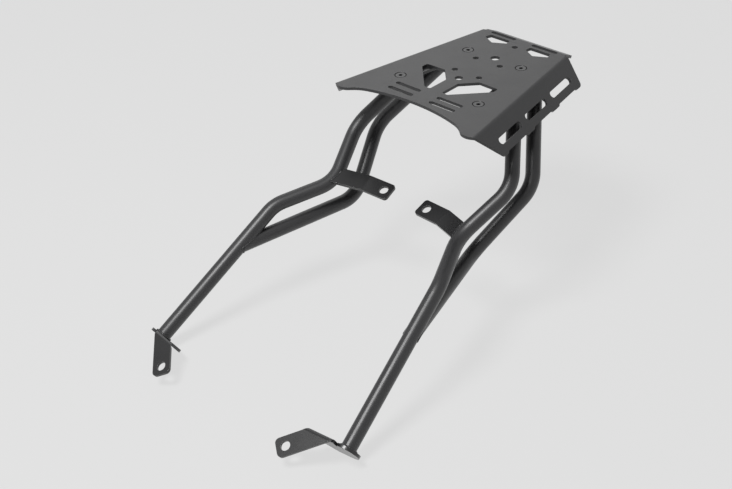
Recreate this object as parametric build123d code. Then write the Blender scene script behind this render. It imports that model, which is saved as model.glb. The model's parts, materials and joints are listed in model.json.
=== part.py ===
from build123d import *
import math
import os

os.makedirs("parts", exist_ok=True)

# Luggage rack for a motorcycle, in mm.
# +X is the rider's right as the rack is seen here, +Y runs to the rear, +Z is up.
# The origin is the centre of the four luggage holes, on the plate's top face.

# Sheet and tube stock
SHEET = 4.0
TUBE_D = 20.0
TUBE_WALL = 2.0
TUBE_BEND_R = 52.0
WELD_GAP = 0.15

# Luggage holes in the plate
HOLE_GRID_X = 41.7
HOLE_GRID_Y = 44.5
HOLE_D = 8.4
REAR_HOLE_Y = 82.2
MID_HOLE_FRONT_Y = -39.2
MID_HOLE_FRONT_D = 11.0
MID_HOLE_REAR_Y = 38.4
MID_HOLE_REAR_D = 13.0

# Plate screws, on two lines that taper to the rear
TAPER = 10.3
SCREW_FRONT_Y = -80.8
SCREW_FRONT_HALF = 67.25
SCREW_RUN = 117.1
SCREW_D = 8.0
SCREW_HEAD_D = 15.8
SCREW_SINK = 0.3
SCREW_LENGTH = 20.0
SCREW_CLEARANCE = 0.5
HEAD_CLEARANCE = 0.3
SOCKET_AF = 5.0
SOCKET_DEPTH = 2.6

# Folded sides of the plate
FOLD_FROM_SCREWS = 38.8
FOLD_ANGLE = 43.0
FOLD_INNER_R = 4.0
SIDE_DEPTH = 43.0
SIDE_FRONT_MARGIN = 30.5
SIDE_REAR_MARGIN = 28.2
SIDE_FRONT_RAKE = 30.0
SIDE_REAR_RAKE = 23.5
SIDE_CORNER_R = 9.0

# Strap slots in the folded sides
SIDE_SLOT_PITCH = 71.7
SIDE_SLOT_FIRST = -19.8
SIDE_SLOT_LENGTH = 57.0
SIDE_SLOT_HEIGHT = 9.4
SIDE_SLOT_DEPTH = 25.3
HEM_STEP = 2.2
HEM_STEP_RUN = 3.5
HEM_STEP_R = 1.5

# Front edge of the plate
FRONT_REACH = 47.7
FRONT_ARC_R = 264.0
FRONT_ARC_HALF = 86.0
FRONT_BLEND_R = 48.0
EAR_ANGLE = 43.5
EAR_R = 17.5

# Rear lip of the plate
REAR_FOLD_STEP = 3.75
REAR_ANGLE = 26.0
REAR_LENGTH = 21.7
REAR_RAKE = 6.0
REAR_RELIEF = 2.0
REAR_CORNER_R = 2.0

# Cut-outs in the plate: right halves, from the front screws and the rear fold
BIG_CUT = ((10.2, 27.8), (30.4, 48.9), (61.1, 48.1), (61.5, 37.8), (19.6, -5.6), (10.2, -5.6))
BIG_CUT_R = 2.6
REAR_CUT = ((18.0, -12.2), (51.3, -12.2), (54.6, -21.8), (35.4, -31.8), (16.6, -21.8))
REAR_CUT_R = 2.0
FRONT_SLOT_IN = 14.2
FRONT_SLOT_OUT = 57.0
FRONT_SLOT_W = 6.4
FRONT_SLOT_YS = (-19.4, -35.0)
REAR_SLOT_STEP = 3.8

# Strip and weld nuts under each side of the plate (hidden, plain guess)
STRIP_INNER = 7.0
STRIP_OUTER = 34.0
STRIP_END = 15.0
STRIP_CORNER_R = 7.0
NUT_AF = 13.0
NUT_HEIGHT = 6.5
THREAD_GAP = 0.1

# Centre lines of the right tubes: where their straight runs meet
OUTER_TUBE = (
    (74.1, -12.7, 0.0),
    (137.1, -97.9, -92.3),
    (110.9, -174.0, -140.8),
    (148.1, -254.7, -155.2),
)
OUTER_LAST_RUN = 231.8
OUTER_LAST_DIR = (0.1023, -0.8458, -0.5236)
INNER_TUBE = (
    (62.7, 46.0, 0.0),
    (138.3, -54.2, -109.6),
    (107.7, -137.2, -181.2),
)
INNER_JOINT = 74.3
JOINT_BEAD = 2.4

# Foot bracket, folded sheet welded under the outer tube's end
FOOT_TWIST = 3.5
FOOT_ROUND_R = 17.4
FOOT_FACE = 28.0
FOOT_FOLD_R = 2.0
FOOT_FOLD_OUT = 10.0
FOOT_LAP = 0.3
FOOT_TAB_ANGLE = 47.4
FOOT_TAB_W = 25.2
FOOT_TAB_SIDE = 18.0
FOOT_TAB_REACH = 67.0
FOOT_TAB_END = 12.0
FOOT_TAB_R = 6.0
FOOT_HEEL = 20.5
FOOT_HEEL_R = 11.0
FOOT_SHOULDER = 43.0
FOOT_SHOULDER_IN = 15.9
FOOT_SHOULDER_R = 9.0
FOOT_RELIEF_W = 2.6
FOOT_RELIEF_IN = 9.5
FOOT_HOLE_D = 12.8
FOOT_BEAD = 3.6

# Middle bracket, folded sheet coped on the outer tube's bend
MID_PAD_POS = (38.4, -152.2, -136.4)
MID_PAD_PITCH = 21.5
MID_PAD_ROLL = 3.1
MID_AXIS = 3.4
MID_TURN = 15.6
MID_FOLD = 12.5
MID_WIDTH = 26.0
MID_END = 12.0
MID_KINK = 30.3
MID_ARM = 50.0
MID_CORNER_R = 4.5
MID_HOLE_D = 13.0

CUT = 60.0
LEFT = Plane.YZ


def rad(a):
    return math.radians(a)


def turned(a):
    return (math.cos(rad(a)), math.sin(rad(a)))


def rounded_face(points, radii):
    # Closed outline with each corner rounded, limited by the shorter side.
    n = len(points)
    edges = []
    joins = []
    for i in range(n):
        p = Vector(*points[i])
        a = Vector(*points[i - 1]) - p
        b = Vector(*points[(i + 1) % n]) - p
        half = a.get_angle(b) / 2
        r = radii[i]
        reach = r / math.tan(rad(half)) if r > 0 else 0.0
        share_a = 0.48 if radii[i - 1] > 0 else 0.96
        share_b = 0.48 if radii[(i + 1) % n] > 0 else 0.96
        limit = min(share_a * a.length, share_b * b.length)
        if reach > limit:
            reach = limit
            r = reach * math.tan(rad(half))
        if reach < 0.01:
            joins.append((p, p, p))
            continue
        middle = p + (a.normalized() + b.normalized()).normalized() * (r / math.sin(rad(half)) - r)
        joins.append((p + a.normalized() * reach, middle, p + b.normalized() * reach))
    for i in range(n):
        start, middle, end = joins[i]
        if (end - start).length > 0.001:
            edges.append(Edge.make_three_point_arc(start, middle, end))
        following = joins[(i + 1) % n][0]
        if (following - end).length > 0.001:
            edges.append(Edge.make_line(end, following))
    return Face(Wire(edges))


def prism(plane, face, low, high):
    # Solid from a flat outline, between two heights over its plane.
    base = plane.offset(low) * face
    return extrude(base, amount=high - low, dir=plane.z_dir)


def slot_cut(plane, x, y, length, width, deep):
    # Straight slot with round ends, cut both ways through its plane.
    face = Pos(x, y) * SlotOverall(length, width)
    return extrude(plane * face, amount=deep, both=True)


def screw_line_x(y_from_front):
    return SCREW_FRONT_HALF - y_from_front * math.tan(rad(TAPER))


def screw_points():
    # Front and rear screw on the right-hand line.
    front = (SCREW_FRONT_HALF, SCREW_FRONT_Y)
    rear = (screw_line_x(SCREW_RUN), SCREW_FRONT_Y + SCREW_RUN)
    return (front, rear)


# The fold line's frame: x runs to the rear along the line, y points inwards.
# Its origin is level with the front screw, square to the screw line.
LINE_DIR = (-math.sin(rad(TAPER)), math.cos(rad(TAPER)), 0)
OUT_DIR = (math.cos(rad(TAPER)), math.sin(rad(TAPER)), 0)
FOLD_POINT = (
    SCREW_FRONT_HALF + FOLD_FROM_SCREWS * OUT_DIR[0],
    SCREW_FRONT_Y + FOLD_FROM_SCREWS * OUT_DIR[1],
    0,
)
FOLD_OUTER_R = FOLD_INNER_R + SHEET
FOLD_REACH = FOLD_OUTER_R * math.tan(rad(FOLD_ANGLE / 2))
REAR_REACH = FOLD_OUTER_R * math.tan(rad(REAR_ANGLE / 2))
# Length that the bend takes up in the unfolded sheet
ALLOWANCE = (FOLD_INNER_R + SHEET / 2) * rad(FOLD_ANGLE)
SIDE_NORMAL = (
    math.sin(rad(FOLD_ANGLE)) * OUT_DIR[0],
    math.sin(rad(FOLD_ANGLE)) * OUT_DIR[1],
    math.cos(rad(FOLD_ANGLE)),
)
FLAT_FRAME = Plane(origin=FOLD_POINT, x_dir=LINE_DIR, z_dir=(0, 0, 1))
SIDE_FRAME = Plane(origin=FOLD_POINT, x_dir=LINE_DIR, z_dir=SIDE_NORMAL)


SIDE_SLOT_XS = [SIDE_SLOT_FIRST + i * SIDE_SLOT_PITCH for i in range(3)]
SIDE_FRONT = SIDE_FRONT_MARGIN + SIDE_SLOT_LENGTH / 2 - SIDE_SLOT_FIRST
SIDE_REAR = SIDE_SLOT_XS[-1] + SIDE_SLOT_LENGTH / 2 + SIDE_REAR_MARGIN


def flat_point(along, inward):
    return FLAT_FRAME.from_local_coords(Vector(along, inward, 0))


def fold_profile(plane, reach, angle, depth, back):
    # Section of a folded edge: a little of the flat, the bend and the leg.
    ro = FOLD_OUTER_R
    ri = FOLD_INNER_R
    c = (-reach, -ro)
    s, k = math.sin(rad(angle)), math.cos(rad(angle))
    sh, kh = math.sin(rad(angle / 2)), math.cos(rad(angle / 2))
    leg = depth - reach

    def at(r, sine, cosine, run):
        return Vector(c[0] + r * sine + run * cosine, c[1] + r * cosine - run * sine)

    top = (Vector(-reach - back, 0), Vector(-reach, 0))
    outer_end = at(ro, s, k, 0)
    inner_end = at(ri, s, k, 0)
    tip_outer = at(ro, s, k, leg)
    tip_inner = at(ri, s, k, leg)
    low = (Vector(-reach, -SHEET), Vector(-reach - back, -SHEET))
    edges = [
        Edge.make_line(top[0], top[1]),
        Edge.make_three_point_arc(top[1], at(ro, sh, kh, 0), outer_end),
        Edge.make_line(outer_end, tip_outer),
        Edge.make_line(tip_outer, tip_inner),
        Edge.make_line(tip_inner, inner_end),
        Edge.make_three_point_arc(inner_end, at(ri, sh, kh, 0), low[0]),
        Edge.make_line(low[0], low[1]),
        Edge.make_line(low[1], top[0]),
    ]
    return plane * Face(Wire(edges))


def rear_fold_y():
    return flat_point(SIDE_REAR, FOLD_REACH).Y + REAR_FOLD_STEP


def crossing(p, p_angle, q, q_angle):
    # Where two lines in the plate's plane meet, each a point and an angle.
    px, py = turned(p_angle)
    qx, qy = turned(q_angle)
    dx, dy = q[0] - p[0], q[1] - p[1]
    run = (dx * qy - dy * qx) / (px * qy - py * qx)
    return (p[0] + run * px, p[1] + run * py)


def hollow_end():
    # Sharp corner where the front edge's long arc meets the ear's straight.
    drop = FRONT_ARC_R - math.sqrt(FRONT_ARC_R**2 - FRONT_ARC_HALF**2)
    return Vector(FRONT_ARC_HALF, SCREW_FRONT_Y - FRONT_REACH - drop)


def ear_corner():
    # Sharp corner of the ear in the unfolded sheet, in the fold line's frame.
    end = FLAT_FRAME.to_local_coords(hollow_end())
    start = (-SIDE_FRONT, FOLD_REACH - ALLOWANCE)
    return crossing((end.X, end.Y), -EAR_ANGLE - TAPER - 90, start, SIDE_FRONT_RAKE - 90)


def ear_centre():
    # Centre of the ear's round, in the same frame.
    to_hollow = 90 - EAR_ANGLE - TAPER
    to_hem = SIDE_FRONT_RAKE - 90
    reach = EAR_R / math.sin(rad((to_hollow - to_hem) / 2))
    x, y = ear_corner()
    dx, dy = turned((to_hollow + to_hem) / 2)
    return (x + reach * dx, y + reach * dy)


def front_end(y):
    # Where the unfolded sheet ends in front, at a distance from the fold line.
    cx, cy = ear_centre()
    if y > cy - EAR_R * math.sin(rad(SIDE_FRONT_RAKE)):
        return cx - math.sqrt(max(EAR_R**2 - (y - cy) ** 2, 0))
    return -SIDE_FRONT + (FOLD_REACH - ALLOWANCE - y) * math.tan(rad(SIDE_FRONT_RAKE))


def hollow():
    # Region that the front edge leaves free: a long arc, blended into the ears.
    centre = Vector(0, SCREW_FRONT_Y - FRONT_REACH - FRONT_ARC_R)
    along = Vector(*turned(-EAR_ANGLE))
    across = Vector(*turned(-EAR_ANGLE - 90))
    w = hollow_end() + across * FRONT_BLEND_R - centre
    b = w.dot(along)
    run = -b - math.sqrt(b * b - w.dot(w) + (FRONT_ARC_R - FRONT_BLEND_R) ** 2)
    middle = hollow_end() + along * run + across * FRONT_BLEND_R
    arc_end = centre + (middle - centre).normalized() * FRONT_ARC_R
    blend_end = middle - across * FRONT_BLEND_R
    inward = ((arc_end - middle) + (blend_end - middle)).normalized()
    blend_mid = middle + inward * FRONT_BLEND_R

    def left(p):
        return Vector(-p.X, p.Y)

    edges = [
        Edge.make_three_point_arc(left(arc_end), centre + Vector(0, FRONT_ARC_R), arc_end),
        Edge.make_three_point_arc(arc_end, blend_mid, blend_end),
        Edge.make_line(blend_end, left(blend_end)),
        Edge.make_three_point_arc(left(blend_end), left(blend_mid), left(arc_end)),
    ]
    return Face(Wire(edges)), blend_end


def both_halves(right):
    # Mirrors the right half of an outline and closes it.
    chain = right + [(-x, y, r) for x, y, r in reversed(right)]
    return rounded_face([(x, y) for x, y, r in chain], [r for x, y, r in chain])


def flat_sheet():
    # Flat middle of the plate, out to where the bends start.
    hollow_face, blend_end = hollow()
    ear = flat_point(*ear_corner())
    hem = flat_point(-SIDE_FRONT + SIDE_DEPTH * math.tan(rad(SIDE_FRONT_RAKE)), -SIDE_DEPTH)
    rear_y = rear_fold_y() - REAR_REACH
    right = [(blend_end.X, blend_end.Y, 0), (ear.X, ear.Y, EAR_R)]
    right += [(hem.X, hem.Y, 0), (hem.X, rear_y, 0)]
    front_in = flat_point(-SIDE_FRONT - SIDE_DEPTH, FOLD_REACH)
    rear_in = flat_point(SIDE_REAR, FOLD_REACH)
    inside = [
        (front_in.X, front_in.Y, 0),
        (rear_in.X, rear_in.Y, 0),
        (rear_in.X - REAR_RELIEF, rear_y, 0),
    ]
    body = prism(Plane.XY, both_halves(right), -SHEET, 0)
    body &= prism(Plane.XY, both_halves(inside), -SHEET, 0)
    return body - prism(Plane.XY, hollow_face, -2 * SHEET, SHEET)


def hem_outline():
    # Outline of a folded side in its own plane, with its stepped hem.
    front_low = -SIDE_FRONT + (SIDE_DEPTH - FOLD_REACH) * math.tan(rad(SIDE_FRONT_RAKE))
    rear_low = SIDE_REAR - (SIDE_DEPTH - FOLD_REACH) * math.tan(rad(SIDE_REAR_RAKE))
    points = [(-SIDE_FRONT, -FOLD_REACH), (front_low, -SIDE_DEPTH)]
    radii = [0, SIDE_CORNER_R]
    for x in SIDE_SLOT_XS:
        start = x - SIDE_SLOT_LENGTH / 2
        end = x + SIDE_SLOT_LENGTH / 2
        high = -SIDE_DEPTH + HEM_STEP
        points += [(start, -SIDE_DEPTH), (start + HEM_STEP_RUN, high)]
        points += [(end - HEM_STEP_RUN, high), (end, -SIDE_DEPTH)]
        radii += [HEM_STEP_R] * 4
    points += [(rear_low, -SIDE_DEPTH), (SIDE_REAR, -FOLD_REACH)]
    radii += [SIDE_CORNER_R, 0]
    return rounded_face(points, radii)


def bend_point(along, radius, angle):
    # A point of the bend: along the fold, out from the bend's axis, turned down.
    inward = FOLD_REACH - radius * math.sin(rad(angle))
    return FLAT_FRAME.from_local_coords(
        Vector(along, inward, radius * math.cos(rad(angle)) - FOLD_OUTER_R)
    )


def bend_end_cut(point_at, angle, end_at, beyond, low, high):
    # Cuts a bend's end along an edge that is drawn on the unfolded sheet.
    sections = []
    for i in range(-1, 10):
        share = i / 8
        end = end_at(share)
        ring = [(end, low), (end, high), (beyond, high), (beyond, low)]
        points = [point_at(u, r, angle * share) for u, r in ring]
        sections.append(Face(Wire.make_polygon(points, close=True)))
    return loft(sections, ruled=True)


def side_bend():
    # The bend itself, its front end cut as the ear's round runs on through it.
    front = -SIDE_FRONT - SIDE_DEPTH
    ro, ri, a = FOLD_OUTER_R, FOLD_INNER_R, FOLD_ANGLE
    corners = [bend_point(front, r, t) for r, t in ((ri, 0), (ro, 0), (ro, a), (ri, a))]
    edges = [
        Edge.make_line(corners[0], corners[1]),
        Edge.make_three_point_arc(corners[1], bend_point(front, ro, a / 2), corners[2]),
        Edge.make_line(corners[2], corners[3]),
        Edge.make_three_point_arc(corners[3], bend_point(front, ri, a / 2), corners[0]),
    ]
    body = extrude(Face(Wire(edges)), amount=SIDE_REAR - front, dir=LINE_DIR)

    def end_at(share):
        return front_end(FOLD_REACH - ALLOWANCE * share)

    return body - bend_end_cut(bend_point, a, end_at, front - 1, ri / 2, 2 * ro)


def right_side():
    # One folded side: the bend, then the slotted leg.
    body = side_bend() + prism(SIDE_FRAME, hem_outline(), -SHEET, 0)
    for x in SIDE_SLOT_XS:
        body -= slot_cut(
            SIDE_FRAME, x, -SIDE_SLOT_DEPTH, SIDE_SLOT_LENGTH, SIDE_SLOT_HEIGHT, 2 * SHEET
        )
    return body


def rear_lip():
    # The short lip folded down along the rear edge.
    half = flat_point(SIDE_REAR, FOLD_REACH).X - REAR_RELIEF
    fold_y = rear_fold_y()
    section = Plane(origin=(half, fold_y, 0), x_dir=(0, 1, 0), z_dir=(1, 0, 0))
    face = fold_profile(section, REAR_REACH, REAR_ANGLE, REAR_LENGTH, 1.0)
    body = extrude(face, amount=2 * half, dir=(-1, 0, 0))
    taper = (REAR_LENGTH - REAR_REACH) * math.tan(rad(REAR_RAKE))
    normal = (0, math.sin(rad(REAR_ANGLE)), math.cos(rad(REAR_ANGLE)))
    frame = Plane(origin=(0, fold_y, 0), x_dir=(1, 0, 0), z_dir=normal)
    points = [
        (-half, -CUT),
        (half, -CUT),
        (half, REAR_REACH),
        (half - taper, REAR_LENGTH),
        (taper - half, REAR_LENGTH),
        (-half, REAR_REACH),
    ]
    outline = rounded_face(points, [0, 0, 2.0, REAR_CORNER_R, REAR_CORNER_R, 2.0])
    return body & prism(frame, outline, -CUT, CUT)


def plate_cuts():
    # Every opening in the flat of the plate, right and left.
    top = Plane.XY
    cuts = []
    outlines = (
        (BIG_CUT, BIG_CUT_R, SCREW_FRONT_Y),
        (REAR_CUT, REAR_CUT_R, rear_fold_y()),
    )
    for outline, r, from_y in outlines:
        points = [(x, y + from_y) for x, y in outline]
        cuts.append(prism(top, rounded_face(points, [r] * len(points)), -2 * SHEET, SHEET))
    slot_mid = (FRONT_SLOT_IN + FRONT_SLOT_OUT) / 2
    slot_long = FRONT_SLOT_OUT - FRONT_SLOT_IN
    slot_ys = [SCREW_FRONT_Y + d for d in FRONT_SLOT_YS] + [rear_fold_y() - REAR_SLOT_STEP]
    for y in slot_ys:
        cuts.append(slot_cut(top, slot_mid, y, slot_long, FRONT_SLOT_W, 2 * SHEET))
    for x, y in screw_points():
        cuts.append(round_cut(x, y, SCREW_D + 2 * SCREW_CLEARANCE))
        top_r = SCREW_HEAD_D / 2 + HEAD_CLEARANCE + SCREW_SINK
        cuts.append(Pos(x, y, -top_r / 2) * Cone(0, top_r, top_r))
        cuts.append(Pos(x, y, SHEET / 4) * Cylinder(top_r, SHEET / 2))
    cuts += [mirror(c, about=LEFT) for c in cuts]
    for x in (-HOLE_GRID_X / 2, HOLE_GRID_X / 2):
        for y in (-HOLE_GRID_Y / 2, HOLE_GRID_Y / 2):
            cuts.append(round_cut(x, y, HOLE_D))
    cuts.append(round_cut(0, REAR_HOLE_Y, HOLE_D))
    cuts.append(round_cut(0, MID_HOLE_FRONT_Y, MID_HOLE_FRONT_D))
    cuts.append(round_cut(0, MID_HOLE_REAR_Y, MID_HOLE_REAR_D))
    return cuts


def round_cut(x, y, diameter):
    return Pos(x, y, 0) * Cylinder(diameter / 2, 4 * SHEET)


def rack_plate():
    # One sheet: cut flat, two long sides folded down and a lip at the rear.
    side = right_side()
    body = flat_sheet() + side + mirror(side, about=LEFT) + rear_lip()
    for cut in plate_cuts():
        body -= cut
    return body


def plate_screw(x, y):
    # Countersunk screw with a hexagon socket, its thread left plain.
    head_r = SCREW_HEAD_D / 2
    shank_r = SCREW_D / 2
    top = -SCREW_SINK
    cone_h = head_r - shank_r
    head = Pos(x, y, top - cone_h / 2) * Cone(shank_r, head_r, cone_h)
    shank_h = SCREW_LENGTH - cone_h
    shank = Pos(x, y, top - cone_h - shank_h / 2) * Cylinder(shank_r, shank_h)
    shank = chamfer(shank.edges().sort_by(Axis.Z)[0], 0.8)
    socket = RegularPolygon(SOCKET_AF / 2, 6, major_radius=False)
    socket = extrude(Pos(x, y, top - SOCKET_DEPTH) * socket, amount=SOCKET_DEPTH + 1, dir=(0, 0, 1))
    return head + shank - socket


def weld_nut(x, y):
    hexagon = RegularPolygon(NUT_AF / 2, 6, major_radius=False)
    body = extrude(Pos(x, y, -2 * SHEET) * hexagon, amount=NUT_HEIGHT, dir=(0, 0, -1))
    corner_r = NUT_AF / 2 / math.cos(rad(30))
    cone_h = 2 * corner_r
    round_off = Pos(x, y, -2 * SHEET - NUT_HEIGHT + cone_h / 2 - 1.0) * Cone(
        corner_r - 0.5, corner_r - 0.5 + cone_h, cone_h
    )
    body = body & round_off
    return body - Pos(x, y, -2 * SHEET) * Cylinder(SCREW_D / 2 + THREAD_GAP, 4 * NUT_HEIGHT)


def mount_strip():
    # Flat strip under the plate that carries the nuts and both tube tops.
    inner = FOLD_FROM_SCREWS + STRIP_INNER
    outer = FOLD_FROM_SCREWS - STRIP_OUTER
    front, rear = screw_points()
    run = SCREW_RUN / math.cos(rad(TAPER))
    points = [
        (-STRIP_END, outer),
        (run + STRIP_END, outer),
        (run + STRIP_END, inner),
        (-STRIP_END, inner),
    ]
    face = rounded_face(points, [STRIP_CORNER_R] * 4)
    body = prism(FLAT_FRAME, face, -2 * SHEET, -SHEET)
    for x, y in (front, rear):
        body -= Pos(x, y, 0) * Cylinder(SCREW_D / 2 + SCREW_CLEARANCE, 6 * SHEET)
    return body


def tube_path(points):
    # Straight runs joined by round bends.
    edges = []
    start = Vector(*points[0])
    for i in range(1, len(points) - 1):
        p = Vector(*points[i])
        a = (Vector(*points[i - 1]) - p)
        b = (Vector(*points[i + 1]) - p)
        half = rad(a.get_angle(b) / 2)
        r = TUBE_BEND_R
        reach = r / math.tan(half)
        a = a.normalized()
        b = b.normalized()
        bend_in = p + a * reach
        bend_out = p + b * reach
        middle = p + (a + b).normalized() * (r / math.sin(half) - r)
        edges.append(Edge.make_line(start, bend_in))
        edges.append(Edge.make_three_point_arc(bend_in, middle, bend_out))
        start = bend_out
    edges.append(Edge.make_line(start, Vector(*points[-1])))
    return Wire(edges)


def rod(points, radius):
    path = tube_path(points)
    along = Vector(*points[1]) - Vector(*points[0])
    face = Plane(origin=points[0], z_dir=along) * Circle(radius)
    return sweep(face, path=path)


def step_from(point, direction, run):
    length = math.sqrt(sum(v * v for v in direction))
    return tuple(p + v * run / length for p, v in zip(point, direction))


def outer_points():
    return OUTER_TUBE + (step_from(OUTER_TUBE[-1], OUTER_LAST_DIR, OUTER_LAST_RUN),)


def inner_points():
    return INNER_TUBE + (step_from(OUTER_TUBE[-1], OUTER_LAST_DIR, INNER_JOINT),)


def below_strip(body):
    # Tube tops are sawn flat where they meet the strip.
    return body - Pos(0, 0, CUT - 2 * SHEET) * Box(8 * CUT, 8 * CUT, 2 * CUT)


def outer_tube():
    points = outer_points()
    body = rod(points, TUBE_D / 2) - rod(points, TUBE_D / 2 - TUBE_WALL)
    return below_strip(body)


def inner_tube():
    # Coped at its lower end to sit on the outer tube.
    points = inner_points()
    body = rod(points, TUBE_D / 2) - rod(points, TUBE_D / 2 - TUBE_WALL)
    body = below_strip(body)
    return body - rod(outer_points(), TUBE_D / 2 + WELD_GAP)


def joint_weld():
    # Bead along the inner tube's coped end, on the side it comes from.
    a = outer_points()
    b = inner_points()
    back = Vector(*b[-2]) - Vector(*b[-1])
    run = Vector(*a[-1]) - Vector(*a[-2])
    reach = 2.2 * TUBE_D / math.sin(rad(back.get_angle(run * -1)))
    far = step_from(b[-1], tuple(back), reach)
    start = step_from(a[-2], OUTER_LAST_DIR, INNER_JOINT - reach)
    stop = step_from(a[-2], OUTER_LAST_DIR, INNER_JOINT + reach)
    bead_r = TUBE_D / 2 + JOINT_BEAD
    bead = straight(far, b[-1], bead_r) & straight(start, stop, bead_r)
    side = (back - run * (back.dot(run) / run.dot(run))).normalized()
    near = Plane(origin=b[-1], x_dir=run, z_dir=side)
    bead &= near * Pos(0, 0, reach) * Box(4 * reach, 4 * reach, 2 * reach)
    bead -= rod(a, TUBE_D / 2 + WELD_GAP)
    bead -= straight(far, b[-1], TUBE_D / 2 + WELD_GAP)
    return largest(bead)


def straight(a, b, radius):
    run = Vector(*b) - Vector(*a)
    face = Plane(origin=a, z_dir=run) * Circle(radius)
    return extrude(face, amount=run.length)


def foot_frame():
    # Frame of the foot: z runs on from the tube, x along the fold, outwards.
    d = Vector(*OUTER_LAST_DIR).normalized()
    side = (Vector(1, 0, 0) - d * d.X).normalized()
    up = d.cross(side)
    fold = side * math.cos(rad(FOOT_TWIST)) - up * math.sin(rad(FOOT_TWIST))
    return Plane(origin=outer_points()[-1], x_dir=fold, z_dir=d)


def foot_tab_point(reach, side):
    # A point of the tab: reach runs along it, side is across from its middle.
    c, s = turned(FOOT_TAB_ANGLE)
    return (-reach * s - (FOOT_TAB_SIDE - side) * c, reach * c - (FOOT_TAB_SIDE - side) * s)


def foot_inner_x(height):
    # The tab's inner edge, at a height over the base plate's face.
    c, s = turned(FOOT_TAB_ANGLE)
    return -(FOOT_TAB_SIDE + FOOT_TAB_W / 2) / c - height * s / c


def foot_bracket():
    # Rounded base plate and a slanted tab folded forward from it.
    frame = foot_frame()
    ri = FOOT_FOLD_R
    ro = ri + SHEET
    flat_end = FOOT_FACE - ro
    allowance = (ri + SHEET / 2) * rad(90)
    r = FOOT_ROUND_R
    outer_x = -FOOT_FOLD_OUT
    beyond = -2 * CUT
    outline = [
        (0, -r),
        (-FOOT_HEEL, -r),
        (-FOOT_SHOULDER, FOOT_SHOULDER_IN - r),
        (foot_inner_x(ro - allowance), flat_end),
        (outer_x, flat_end),
        (outer_x, 0),
        (0, 0),
    ]
    radii = [0, FOOT_HEEL_R, FOOT_SHOULDER_R, 0, 0, 0, 0]
    base = prism(frame, rounded_face(outline, radii), 0, SHEET)
    base += extrude(frame * Circle(r), amount=SHEET)
    # Folded part, drawn from the side and cut to the tab's outline.
    side = Plane(
        origin=frame.from_local_coords(Vector(beyond, 0, 0)),
        x_dir=frame.y_dir,
        z_dir=frame.x_dir,
    )
    depth = FOOT_TAB_REACH + 2 * FOOT_TAB_END
    k = math.sqrt(0.5)
    centre = Vector(flat_end, ro)
    edges = [
        Edge.make_line((flat_end - FOOT_LAP, 0), (flat_end, 0)),
        Edge.make_three_point_arc((flat_end, 0), centre + Vector(k, -k) * ro, (FOOT_FACE, ro)),
        Edge.make_line((FOOT_FACE, ro), (FOOT_FACE, depth)),
        Edge.make_line((FOOT_FACE, depth), (FOOT_FACE - SHEET, depth)),
        Edge.make_line((FOOT_FACE - SHEET, depth), (FOOT_FACE - SHEET, ro)),
        Edge.make_three_point_arc(
            (FOOT_FACE - SHEET, ro), centre + Vector(k, -k) * ri, (flat_end, SHEET)
        ),
        Edge.make_line((flat_end, SHEET), (flat_end - FOOT_LAP, SHEET)),
        Edge.make_line((flat_end - FOOT_LAP, SHEET), (flat_end - FOOT_LAP, 0)),
    ]
    folded = extrude(side * Face(Wire(edges)), amount=4 * CUT, dir=frame.x_dir)
    face_on = Plane(origin=frame.origin, x_dir=frame.x_dir, z_dir=-frame.y_dir)
    half = FOOT_TAB_W / 2
    far = FOOT_TAB_REACH + FOOT_TAB_END
    c, s = turned(FOOT_TAB_ANGLE)
    near_out = foot_tab_point((ro + (FOOT_TAB_SIDE - half) * s) / c, half)
    points = [
        (beyond, -CUT),
        (outer_x, -CUT),
        (outer_x, 0),
        near_out,
        foot_tab_point(far, half),
        foot_tab_point(far, -half),
        (foot_inner_x(ro), ro),
        (beyond, ro),
    ]
    outline = rounded_face(points, [0, 0, 0, 0, FOOT_TAB_R, FOOT_TAB_R, 0, 0])
    body = base + (folded & prism(face_on, outline, -CUT, CUT))

    def bend_at(u, radius, angle):
        inward, down = turned(angle)
        return frame.from_local_coords(Vector(u, flat_end + radius * down, ro - radius * inward))

    def end_at(share):
        return foot_inner_x(ro - allowance * (1 - share))

    body -= bend_end_cut(bend_at, 90, end_at, beyond, ri / 2, 2 * ro)
    hx, hz = foot_tab_point(FOOT_TAB_REACH, 0)
    hole = Plane(origin=face_on.from_local_coords(Vector(hx, hz, 0)), z_dir=frame.y_dir)
    body -= extrude(hole * Circle(FOOT_HOLE_D / 2), amount=CUT, both=True)
    # Bend relief between the fold and the rounded end.
    relief_x = outer_x + FOOT_RELIEF_W / 2
    notch_long = 2 * (ro + FOOT_RELIEF_IN)
    notch = slot_cut(
        frame * Rot(0, 0, 90), FOOT_FACE, -relief_x, notch_long, FOOT_RELIEF_W, 2 * ro
    )
    return body - notch


def foot_weld():
    # Bead between the tube's end and the foot's base plate.
    frame = foot_frame()
    tube_r = TUBE_D / 2 + WELD_GAP
    cone = frame * Pos(0, 0, -FOOT_BEAD / 2) * Cone(tube_r, tube_r + FOOT_BEAD, FOOT_BEAD)
    return cone - frame * Cylinder(tube_r, 4 * FOOT_BEAD)


def mid_frame():
    # Frame of the pad's top face, at its hole.
    pitch, roll = rad(MID_PAD_PITCH), rad(MID_PAD_ROLL)
    z = Vector(-math.sin(roll), -math.sin(pitch), math.cos(pitch) * math.cos(roll)).normalized()
    x = (Vector(1, 0, 0) - z * z.X).normalized()
    return Plane(origin=MID_PAD_POS, x_dir=x, z_dir=z)


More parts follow.
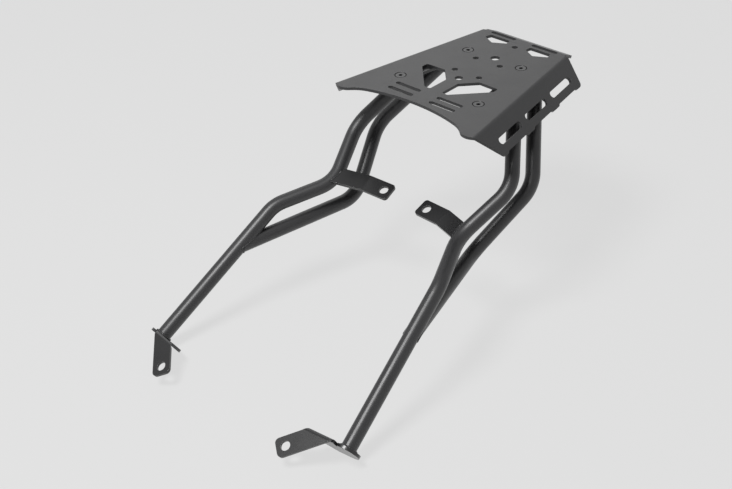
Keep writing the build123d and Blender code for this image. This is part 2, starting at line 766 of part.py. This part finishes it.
def mid_bracket():
    # Flat pad and an arm folded up a little, coped on the outer tube.
    frame = mid_frame()
    half = MID_WIDTH / 2
    ax, ay = turned(-MID_AXIS)
    bx, by = turned(-MID_AXIS - MID_TURN)
    mx, my = turned(-MID_AXIS - MID_TURN / 2)
    wide = half / math.cos(rad(MID_TURN / 2))
    kink = (MID_KINK * ax, MID_KINK * ay)
    rear = (kink[0] - wide * my, kink[1] + wide * mx)
    front = (kink[0] + wide * my, kink[1] - wide * mx)
    end_rear = (-MID_END * ax - half * ay, -MID_END * ay + half * ax)
    end_front = (-MID_END * ax + half * ay, -MID_END * ay - half * ax)
    pad = rounded_face([end_rear, end_front, front, rear], [MID_CORNER_R, MID_CORNER_R, 0, 0])
    pad = prism(frame, pad, -SHEET, 0)
    far_rear = (rear[0] + MID_ARM * bx, rear[1] + MID_ARM * by)
    far_front = (front[0] + MID_ARM * bx, front[1] + MID_ARM * by)
    arm = rounded_face([rear, front, far_front, far_rear], [0, 0, 0, 0])
    arm = prism(frame, arm, -SHEET, 0)
    hinge_from = frame.from_local_coords(Vector(rear[0], rear[1], -SHEET))
    hinge_to = frame.from_local_coords(Vector(front[0], front[1], -SHEET))
    arm = arm.rotate(Axis(hinge_from, hinge_to - hinge_from), MID_FOLD)
    body = pad + arm
    body -= extrude(frame * Circle(MID_HOLE_D / 2), amount=3 * SHEET, both=True)
    return body - rod(outer_points(), TUBE_D / 2 + WELD_GAP)


def write(name, shape):
    shape.label = name
    export_step(shape, "parts/" + name + ".step")


def write_pair(name, shape):
    write(name + "_right", shape)
    write(name + "_left", mirror(shape, about=LEFT))


def largest(shape):
    # The one solid of a piece, without slivers that a cope may leave.
    solids = sorted(shape.solids(), key=lambda s: s.volume)
    return solids[-1]


write("rack_plate", largest(rack_plate()))
for place, (sx, sy) in zip(("front", "rear"), screw_points()):
    write_pair("plate_screw_" + place, plate_screw(sx, sy))
    write_pair("weld_nut_" + place, weld_nut(sx, sy))
write_pair("mount_strip", mount_strip())
write_pair("outer_tube", largest(outer_tube()))
write_pair("inner_tube", largest(inner_tube()))
write_pair("joint_weld", joint_weld())
write_pair("foot_bracket", largest(foot_bracket()))
write_pair("foot_weld", foot_weld())
write_pair("mid_bracket", largest(mid_bracket()))
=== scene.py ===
import json
import math

import bpy
import numpy as np
from mathutils import Euler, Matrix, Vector


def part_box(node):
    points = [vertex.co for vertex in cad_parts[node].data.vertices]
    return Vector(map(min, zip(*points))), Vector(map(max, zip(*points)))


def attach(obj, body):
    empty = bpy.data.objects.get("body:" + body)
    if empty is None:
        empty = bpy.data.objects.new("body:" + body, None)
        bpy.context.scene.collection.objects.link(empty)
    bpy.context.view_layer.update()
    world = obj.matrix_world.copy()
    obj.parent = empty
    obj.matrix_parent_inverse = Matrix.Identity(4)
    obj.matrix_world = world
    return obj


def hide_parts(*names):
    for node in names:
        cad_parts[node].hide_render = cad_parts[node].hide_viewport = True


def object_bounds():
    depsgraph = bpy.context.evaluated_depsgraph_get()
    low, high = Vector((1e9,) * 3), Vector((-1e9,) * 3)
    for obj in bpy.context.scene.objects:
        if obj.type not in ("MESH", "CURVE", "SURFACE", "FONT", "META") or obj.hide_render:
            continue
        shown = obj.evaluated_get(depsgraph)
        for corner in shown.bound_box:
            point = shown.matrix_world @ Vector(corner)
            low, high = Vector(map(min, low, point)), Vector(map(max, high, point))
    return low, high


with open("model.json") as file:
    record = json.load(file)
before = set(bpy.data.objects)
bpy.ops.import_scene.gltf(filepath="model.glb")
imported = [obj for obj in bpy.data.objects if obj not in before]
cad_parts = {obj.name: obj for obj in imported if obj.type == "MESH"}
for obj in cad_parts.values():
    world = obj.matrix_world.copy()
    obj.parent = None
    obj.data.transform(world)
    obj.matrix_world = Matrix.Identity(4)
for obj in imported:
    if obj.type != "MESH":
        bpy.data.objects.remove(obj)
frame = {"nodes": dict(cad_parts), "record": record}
cadLow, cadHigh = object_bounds()
print("frame loaded")


# Shader sockets that can be added, multiplied and so on like numbers.
class Sock:
    def __init__(self, socket):
        self.tree = socket.id_data
        self.socket = socket

    def maths(self, operation, other, swap=False):
        node = self.tree.nodes.new("ShaderNodeMath")
        node.operation = operation
        mine, theirs = (1, 0) if swap else (0, 1)
        self.tree.links.new(self.socket, node.inputs[mine])
        if isinstance(other, Sock):
            self.tree.links.new(other.socket, node.inputs[theirs])
        else:
            node.inputs[theirs].default_value = other
        return Sock(node.outputs[0])

    def __add__(self, other):
        return self.maths("ADD", other)

    def __radd__(self, other):
        return self.maths("ADD", other, True)

    def __sub__(self, other):
        return self.maths("SUBTRACT", other)

    def __rsub__(self, other):
        return self.maths("SUBTRACT", other, True)

    def __mul__(self, other):
        return self.maths("MULTIPLY", other)

    def __rmul__(self, other):
        return self.maths("MULTIPLY", other, True)

    def __truediv__(self, other):
        return self.maths("DIVIDE", other)

    def __rtruediv__(self, other):
        return self.maths("DIVIDE", other, True)

    def least(self, other):
        return self.maths("MINIMUM", other)

    def most(self, other):
        return self.maths("MAXIMUM", other)

    def clamped(self):
        return self.least(1.0).most(0.0)

    def ramp(self, low, high):
        return ((self - low) / (high - low)).clamped()


# Node graph of a material or of the world.
class Graph:
    def __init__(self, owner):
        owner.use_nodes = True
        self.owner = owner
        self.tree = owner.node_tree
        self.tree.nodes.clear()

    def add(self, kind, inputs=None, **settings):
        node = self.tree.nodes.new(kind)
        for key, value in settings.items():
            setattr(node, key, value)
        for key, value in (inputs or {}).items():
            if isinstance(value, Sock):
                value = value.socket
            if isinstance(value, bpy.types.Node):
                value = value.outputs[0]
            if isinstance(value, bpy.types.NodeSocket):
                self.tree.links.new(value, node.inputs[key])
            else:
                node.inputs[key].default_value = value
        return node

    def blend(self, share, low, high):
        # The colour low where the share is 0, and high where it is 1. A Mix node keeps its
        # two colours in sockets 6 and 7, and their mixture in output 2.
        low, high = [c if isinstance(c, Sock) else (*c, 1) for c in (low, high)]
        node = self.add("ShaderNodeMix", {0: share, 6: low, 7: high}, data_type="RGBA")
        return Sock(node.outputs[2])

    def show(self, shader):
        kind = "World" if isinstance(self.owner, bpy.types.World) else "Material"
        self.add("ShaderNodeOutput" + kind, {"Surface": shader})
        return self.owner


# Graph of a coat, whose patterns read object coordinates.
class Coat(Graph):
    def __init__(self, name):
        super().__init__(bpy.data.materials.new(name))
        self.position = self.add("ShaderNodeTexCoord").outputs["Object"]

    def noise(self, look):
        return Sock(self.add("ShaderNodeTexNoise", {
            "Vector": self.position, "Scale": 1 / look["size"],
            "Detail": look["detail"], "Roughness": look["roughness"],
        }).outputs["Fac"])

    def grains(self, look):
        return Sock(self.add("ShaderNodeTexVoronoi", {
            "Vector": self.position, "Scale": 1 / look["size"],
        }).outputs["Distance"])

    def bump(self, height, look, relief, below):
        return self.add("ShaderNodeBump", {
            "Height": height, "Distance": look["depth"] * relief,
            "Strength": look["strength"], "Normal": below,
        })

    def vectors(self, operation, first, second):
        return self.add("ShaderNodeVectorMath", {0: first, 1: second}, operation=operation)


# Powder coat: fine grain, slight orange peel, patchy sheen and thinner, paler edges.
coatLook = {
    "dark": (0.011, 0.011, 0.012),
    "light": (0.020, 0.020, 0.021),
    "deep": (0.002, 0.002, 0.002),  # where no light comes
    "rough": {"range": (0.37, 0.47), "patch": (0.3, 0.7), "share": 0.5},
    "edge": {
        "colour": (0.060, 0.061, 0.063), "share": 0.45, "patch": (0.3, 0.6),
        "radius": 0.0006, "samples": 6,
        "reach": (0.01, 0.25),  # how far the normal turns from a face to its edge
    },
    "grain": {
        "size": 0.0014, "detail": 3.0, "roughness": 0.55, "share": 0.45,
        "depth": 0.00010, "strength": 0.5,
    },
    "fleck": {"size": 0.00112, "range": (0.1, 0.7), "share": 0.2},
    "wave": {
        "size": 0.007, "detail": 2.0, "roughness": 0.5,
        "depth": 0.00006, "strength": 0.35,
    },
    "patch": {
        "size": 0.040, "detail": 4.0, "roughness": 0.6,
        "range": (0.35, 0.65), "share": 0.35,
    },
}


def powderCoat(name, tone=1.0, gloss=0.0, relief=1.0, shade=None):
    # tone scales the colours, gloss is taken off the roughness and relief scales the bumps.
    # shade, where given, makes a mask that takes the coat to a deep black as it goes to 1.
    coat = Coat(name)
    look = coatLook
    edgeLook, roughLook = look["edge"], look["rough"]
    grain, wave, patch = [coat.noise(look[part]) for part in ("grain", "wave", "patch")]
    fleck = coat.grains(look["fleck"])

    # The edge mask is 0 on a face and 1 where the rounded normal leaves the face's own.
    rounded = coat.add(
        "ShaderNodeBevel", {"Radius": edgeLook["radius"]}, samples=edgeLook["samples"])
    flat = coat.add("ShaderNodeNewGeometry").outputs["Normal"]
    along = Sock(coat.vectors("DOT_PRODUCT", rounded, flat).outputs["Value"])
    edge = (1.0 - along).ramp(*edgeLook["reach"])

    low, high, pale = [
        [tone * c for c in colour] for colour in (look["dark"], look["light"], edgeLook["colour"])]
    share = grain * look["grain"]["share"]
    for mask, part in ((patch, look["patch"]), (fleck, look["fleck"])):
        share = share + mask.ramp(*part["range"]) * part["share"]
    worn = edge * patch.ramp(*edgeLook["patch"]) * edgeLook["share"]
    colour = coat.blend(worn, coat.blend(share.clamped(), low, high), pale)

    lowRough, highRough = roughLook["range"]
    sheen = patch.ramp(*roughLook["patch"]) * roughLook["share"]
    sheen = sheen + grain * (1 - roughLook["share"])
    rough = sheen * (highRough - lowRough) + (lowRough - gloss)

    peel = coat.bump(wave, look["wave"], relief, rounded)
    normal = coat.bump(grain, look["grain"], relief, peel)
    inputs = {"Base Color": colour, "Roughness": rough, "Normal": normal}
    if shade is None:
        return coat.show(coat.add("ShaderNodeBsdfPrincipled", inputs))
    hidden = shade(coat)
    inputs["Base Color"] = coat.blend(hidden, colour, (0.0, 0.0, 0.0))
    lit = coat.add("ShaderNodeBsdfPrincipled", inputs)
    deep = coat.add("ShaderNodeBsdfDiffuse", {"Color": (*look["deep"], 1)})
    return coat.show(coat.add("ShaderNodeMixShader", {0: hidden, 1: lit, 2: deep}))


# The coat of each slot, apart from the screws.
coats = {
    "plate": powderCoat("plateCoat"),
    "tubes": powderCoat("tubeCoat", tone=1.10, gloss=0.02),
    "brackets": powderCoat("bracketCoat", tone=0.62, gloss=0.13, relief=0.5),
    "weld_beads": powderCoat("weldCoat", gloss=0.03),
    "nuts": powderCoat("nutCoat", tone=0.9, gloss=0.02),
}

# Countersunk screws: the joint around the head and the socket lie in deep shade.
screwLook = {
    "tone": 1.15, "gloss": 0.06, "relief": 0.5,
    "rim": (0.0066, 0.0074),  # radii between which the shade sets in
    "socketDepth": (0.0006, 0.0013),  # depths between which it does in the socket
    "socketReach": 0.0032,
    "socketBlur": 0.0002,
    "darkest": 0.92,
}


def screwCoat(node):
    low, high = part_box(node)
    centre = [(low[k] + high[k]) / 2 for k in range(2)] + [0.0]
    top = high[2]
    look = screwLook

    def shade(coat):
        # Dark beyond the rim's radius, and below the top within the socket's radius.
        level = coat.vectors("MULTIPLY", coat.position, (1.0, 1.0, 0.0))
        away = Sock(coat.vectors("DISTANCE", level, centre).outputs["Value"])
        split = coat.add("ShaderNodeSeparateXYZ", {"Vector": coat.position})
        depth = top - Sock(split.outputs["Z"])
        within = (look["socketReach"] - away).ramp(0.0, look["socketBlur"])
        socket = depth.ramp(*look["socketDepth"]) * within
        return away.ramp(*look["rim"]).most(socket) * look["darkest"]

    return powderCoat("screwCoat_" + node, look["tone"], look["gloss"], look["relief"], shade)


slotOf = {row["node"]: row["material_slot"] for row in frame["record"]["subparts"]}
for node, piece in frame["nodes"].items():
    slot = slotOf[node]
    piece.data.materials.clear()
    piece.data.materials.append(screwCoat(node) if slot == "screws" else coats[slot])
print("coats made")


# Weld beads: overlapping ripples of weld metal along a closed seam.
weldLook = {
    "tubeRadius": 0.010,
    "around": 20,  # points around the bead
    "rise": 0.6,  # power by which a ripple rises
    "joint": {
        "tip": (0.155701, -0.317543, -0.194103),  # branch tube's centre line
        "from": (0.1077, -0.1372, -0.1812),
        "onto": (0.1481, -0.2547, -0.1552),  # main tube's centre line
        "ontoEnd": (0.171813, -0.450756, -0.27657),
        "radius": 0.0011, "steps": 420, "ripples": 70, "depth": 0.16,
    },
    "bracket": {
        "radius": 0.0012, "steps": 240, "ripples": 30, "depth": 0.18,
        "near": 0.00035,  # a corner this close to the tube is at the weld
        "slack": 0.05,  # share by which a corner may lie beside a triangle
        "stretch": 4, "smooth": 3,
    },
    "foot": {
        "centre": (0.171813, -0.450756, -0.27657),
        "axis": (0.1023, -0.8458, -0.5236),
        "radius": 0.0017, "out": 0.0005, "lift": 0.0010,
        "steps": 300, "ripples": 30, "depth": 0.20,
    },
}


def unit(v):
    return v / np.linalg.norm(v, axis=-1, keepdims=True)


def evenTurn(count):
    # Even angles of one whole turn, one to a row.
    return np.linspace(0, 2 * np.pi, count, endpoint=False)[:, None]


def circle(axis, radius, count):
    # Two directions square to the axis and to each other, mixed by cosine and sine.
    first = unit(np.cross(axis, (0.0, 0.0, 1.0)))
    second = np.cross(axis, first)
    turn = evenTurn(count)
    return radius * (first * np.cos(turn) + second * np.sin(turn))


def ripple(look, turn):
    # Bead radius along the seam: each ripple rises slowly and drops off at its edge.
    phase = (look["ripples"] * turn) % 1.0
    return look["radius"] * (1.0 - look["depth"] * (1.0 - phase ** weldLook["rise"]))


def bead(name, seam, look, node):
    # Circle of the ripple's radius carried along the seam's closed path.
    steps, around = look["steps"], weldLook["around"]
    along = unit(np.roll(seam, -1, 0) - np.roll(seam, 1, 0))
    across = unit(np.cross(along, unit(seam - seam.mean(0))))
    outward = np.cross(across, along)
    reach = ripple(look, np.arange(steps) / steps)[:, None, None]
    angle = evenTurn(around)
    spread = across[:, None, :] * np.cos(angle) + outward[:, None, :] * np.sin(angle)
    points = (seam[:, None, :] + reach * spread).reshape(-1, 3)
    i, j = np.meshgrid(np.arange(steps), np.arange(around), indexing="ij")
    nextI, nextJ = (i + 1) % steps, (j + 1) % around
    corners = [(i, j), (nextI, j), (nextI, nextJ), (i, nextJ)]
    faces = np.stack([row * around + column for row, column in corners], -1).reshape(-1, 4)

    # Where the enclosed volume comes out negative, the faces point inwards and are turned.
    a, b, c, d = [points[faces[:, k]] for k in range(4)]
    volume = ((a - points.mean(0)) * np.cross(c - a, d - b)).sum()
    if volume < 0:
        faces = faces[:, ::-1]
    mesh = bpy.data.meshes.new(name)
    mesh.from_pydata(points.tolist(), [], faces.tolist())
    mesh.shade_smooth()
    mesh.materials.append(coats["weld_beads"])
    piece = bpy.data.objects.new(name, mesh)
    bpy.context.scene.collection.objects.link(piece)
    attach(piece, "root")
    if node:
        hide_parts(node)


def jointSeam():
    # Where lines along the branch tube's wall meet the main tube's wall (a quadratic in the run).
    look = weldLook["joint"]
    radius = weldLook["tubeRadius"]
    tip, start, onto, ontoEnd = [np.array(look[key]) for key in ("tip", "from", "onto", "ontoEnd")]
    back, main = unit(start - tip), unit(ontoEnd - onto)
    wall = tip + circle(back, radius, look["steps"]) - onto
    wallOff = wall - main * (wall @ main)[:, None]
    backOff = back - main * (back @ main)
    square, half = backOff @ backOff, wallOff @ backOff
    inside = half ** 2 - square * ((wallOff ** 2).sum(1) - radius ** 2)
    run = (np.sqrt(np.maximum(inside, 0.0)) - half) / square
    return onto + wall + back * run[:, None]


def footSeam():
    # Circle around the tube's end, just above the foot's base plate.
    look = weldLook["foot"]
    axis = unit(np.array(look["axis"]))
    ring = circle(axis, weldLook["tubeRadius"] + look["out"], look["steps"])
    return np.array(look["centre"]) - axis * look["lift"] + ring


def cadPoints(mesh):
    flat = np.empty(len(mesh.vertices) * 3)
    mesh.vertices.foreach_get("co", flat)
    return flat.reshape(-1, 3)


def touches(points, mesh, near, slack):
    # Whether a point lies over one of the mesh's triangles and less than near from its plane.
    # A dot product with the normal gives its height, and one with each of two directions in
    # the plane gives the share of a side that leads to it.
    picks = np.empty(len(mesh.loops), dtype=np.int32)
    mesh.loops.foreach_get("vertex_index", picks)
    a, b, c = cadPoints(mesh)[picks.reshape(-1, 3)].transpose(1, 0, 2)
    whole = np.linalg.norm(np.cross(b - a, c - a), axis=1) > 0
    a, b, c = a[whole], b[whole], c[whole]
    normal = np.cross(b - a, c - a)
    square = (normal ** 2).sum(1)[:, None]

    def measured(direction):
        return points @ direction.T - (a * direction).sum(1)

    height = np.abs(measured(unit(normal)))
    shareB = measured(np.cross(c - a, normal) / square)
    shareC = measured(np.cross(normal, b - a) / square)
    inside = (shareB > -slack) & (shareC > -slack) & (shareB + shareC < 1 + slack)
    return (inside & (height < near)).any(1)


def bracketSeam(sideName):
    # Corners of the middle bracket that touch the tube, taken in turn around their middle and
    # joined by evenly spaced points, each then averaged with its neighbours a few times.
    look = weldLook["bracket"]
    bracket = frame["nodes"]["mid_bracket_" + sideName].data
    tube = frame["nodes"]["outer_tube_" + sideName].data
    corners = np.unique(cadPoints(bracket).round(6), axis=0)
    corners = corners[touches(corners, tube, look["near"], look["slack"])]
    off = corners - corners.mean(0)
    axes = np.linalg.svd(off, full_matrices=False)[2]
    # The sheet is thin, so its short axis is stretched before the corners are sorted by angle.
    turn = np.arctan2(off @ axes[1] * look["stretch"], off @ axes[0])
    loop = corners[np.argsort(turn)]
    loop = np.vstack([loop, loop[:1]])
    reach = np.cumsum(np.linalg.norm(np.diff(loop, axis=0), axis=1))
    reach = np.concatenate([[0.0], reach])
    even = np.linspace(0, reach[-1], look["steps"], endpoint=False)
    seam = np.stack([np.interp(even, reach, loop[:, k]) for k in range(3)], -1)
    for _ in range(look["smooth"]):
        seam = (np.roll(seam, 1, 0) + seam * 2 + np.roll(seam, -1, 0)) / 4
    return seam


for sideName, side in (("right", 1.0), ("left", -1.0)):
    mirror = (side, 1.0, 1.0)
    for part, seam, node in (
        ("joint", jointSeam() * mirror, "joint_weld_" + sideName),
        ("foot", footSeam() * mirror, "foot_weld_" + sideName),
        ("bracket", bracketSeam(sideName), None),
    ):
        bead(f"{part}_bead_{sideName}", seam, weldLook[part], node)
print("welds laid")


# Camera at the photograph's viewing angle.
cameraLook = {
    "place": (1.0176, -1.26223, 0.79045),
    "turn": (56.4557, 2.196, 43.1376),
    "lens": 64.783,
    "sensor": 36.0,
    "near": 0.05,
    "far": 60.0,
}
cameraData = bpy.data.cameras.new("camera")
cameraData.lens = cameraLook["lens"]
cameraData.sensor_width = cameraLook["sensor"]
cameraData.clip_start = cameraLook["near"]
cameraData.clip_end = cameraLook["far"]
camera = bpy.data.objects.new("camera", cameraData)
camera.location = cameraLook["place"]
camera.rotation_euler = Euler([math.radians(a) for a in cameraLook["turn"]])
bpy.context.scene.collection.objects.link(camera)
bpy.context.scene.camera = camera
print("camera set")


# Pale floor under the feet, and the same pale colour around it.
floorLook = {
    "colour": (0.745, 0.745, 0.745),
    "mirrored": 1.45,  # how much brighter it is in reflections
    "glow": 0.90,  # share of the colour that takes no shadow
    "drop": 0.004,
    "reach": 30.0,
}


def scaled(colour, times):
    return [c * times for c in colour]


def seenRays(graph):
    # 1 for rays by which the camera, a reflection or a view through glass sees the
    # surroundings, and then 1 for reflections alone.
    path = graph.add("ShaderNodeLightPath")
    direct, mirrored, through = [
        Sock(path.outputs[f"Is {ray} Ray"]) for ray in ("Camera", "Glossy", "Transmission")]
    return direct.most(mirrored).most(through), mirrored


def paleFloor():
    look = floorLook
    reach, z = look["reach"], cadLow[2] - look["drop"]
    corners = [(-reach, -reach, z), (reach, -reach, z), (reach, reach, z), (-reach, reach, z)]
    mesh = bpy.data.meshes.new("floor")
    mesh.from_pydata(corners, [], [(0, 1, 2, 3)])
    floor = bpy.data.objects.new("floor", mesh)
    bpy.context.scene.collection.objects.link(floor)

    # The glow keeps the colour plain, and the rest of it takes the object's shadow.
    paint = Graph(bpy.data.materials.new("floorPaint"))
    seen, mirrored = seenRays(paint)
    colour = look["colour"]
    glow = paint.add("ShaderNodeEmission", {
        "Color": paint.blend(mirrored, colour, scaled(colour, look["mirrored"])),
    })
    matt = paint.add("ShaderNodeBsdfDiffuse", {"Color": (*colour, 1)})
    mix = paint.add("ShaderNodeMixShader", {0: seen * look["glow"], 1: matt, 2: glow})
    mesh.materials.append(paint.show(mix))


paleFloor()
print("floor laid")


# Soft studio light: a key lamp high in front, a low one behind, a faint one beside.
lampLook = {
    "world": 0.20,  # share of the surroundings' colour that lights the object
    "key": {"place": (-0.10, -1.45, 2.15), "size": 0.9, "power": 74.0},
    "rear": {"place": (-1.85, 1.60, 1.40), "size": 1.8, "power": 7.5},
    "fill": {"place": (2.4, 0.4, 0.6), "size": 2.0, "power": 2.0},
}


def lamp(name):
    look = lampLook[name]
    light = bpy.data.lights.new(name, "AREA")
    light.shape = "DISK"
    light.size = look["size"]
    light.energy = look["power"]
    piece = bpy.data.objects.new(name, light)
    piece.location = look["place"]
    toMiddle = (cadLow + cadHigh) / 2 - Vector(look["place"])
    piece.rotation_euler = toMiddle.to_track_quat("-Z", "Y").to_euler()
    bpy.context.scene.collection.objects.link(piece)


def studioWorld():
    studio = Graph(bpy.data.worlds.new("studio"))
    colour = floorLook["colour"]
    seen, _ = seenRays(studio)
    back = studio.blend(seen, scaled(colour, lampLook["world"]), colour)
    bpy.context.scene.world = studio.show(studio.add("ShaderNodeBackground", {"Color": back}))


for name in ("key", "rear", "fill"):
    lamp(name)
studioWorld()
bpy.context.scene.view_settings.view_transform = "Standard"
print("lamps lit")
